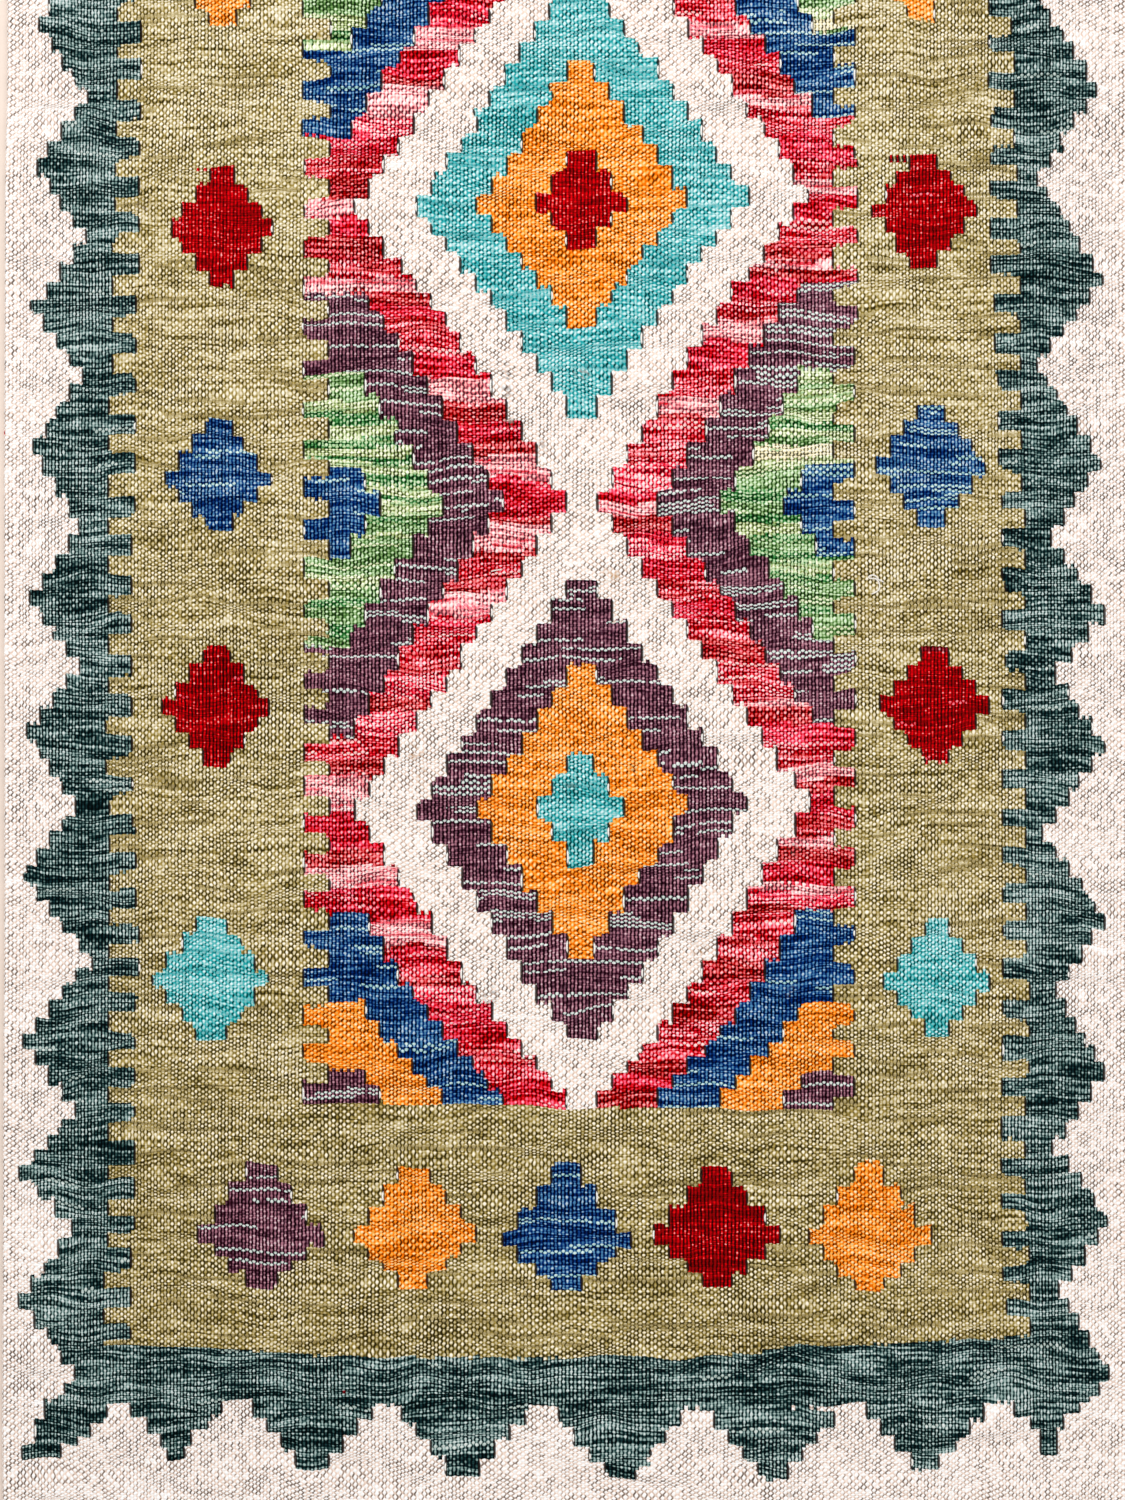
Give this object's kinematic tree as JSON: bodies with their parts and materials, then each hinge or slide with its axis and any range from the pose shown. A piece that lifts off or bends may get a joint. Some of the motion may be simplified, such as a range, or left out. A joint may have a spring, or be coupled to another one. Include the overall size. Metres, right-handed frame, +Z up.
{
  "type": "kilim rug",
  "caption": "Flat hand-woven wool kilim rug with stepped lozenges, side diamonds and a crenellated border.",
  "frame": {"origin": "on the floor, under the middle of the rug's bounding box", "axes": "+X across the rug along its wefts, +Y along its warps towards the end that lies at the top of the picture, +Z up out of the face"},
  "size_m": [0.83, 1.5, 0.0035],
  "materials": {
    "wool": "hand-spun wool in a weft-faced flat weave, matt, in several dyed colours"
  },
  "bodies": {
    "root": {"kilim": "wool"}
  },
  "joints": []
}
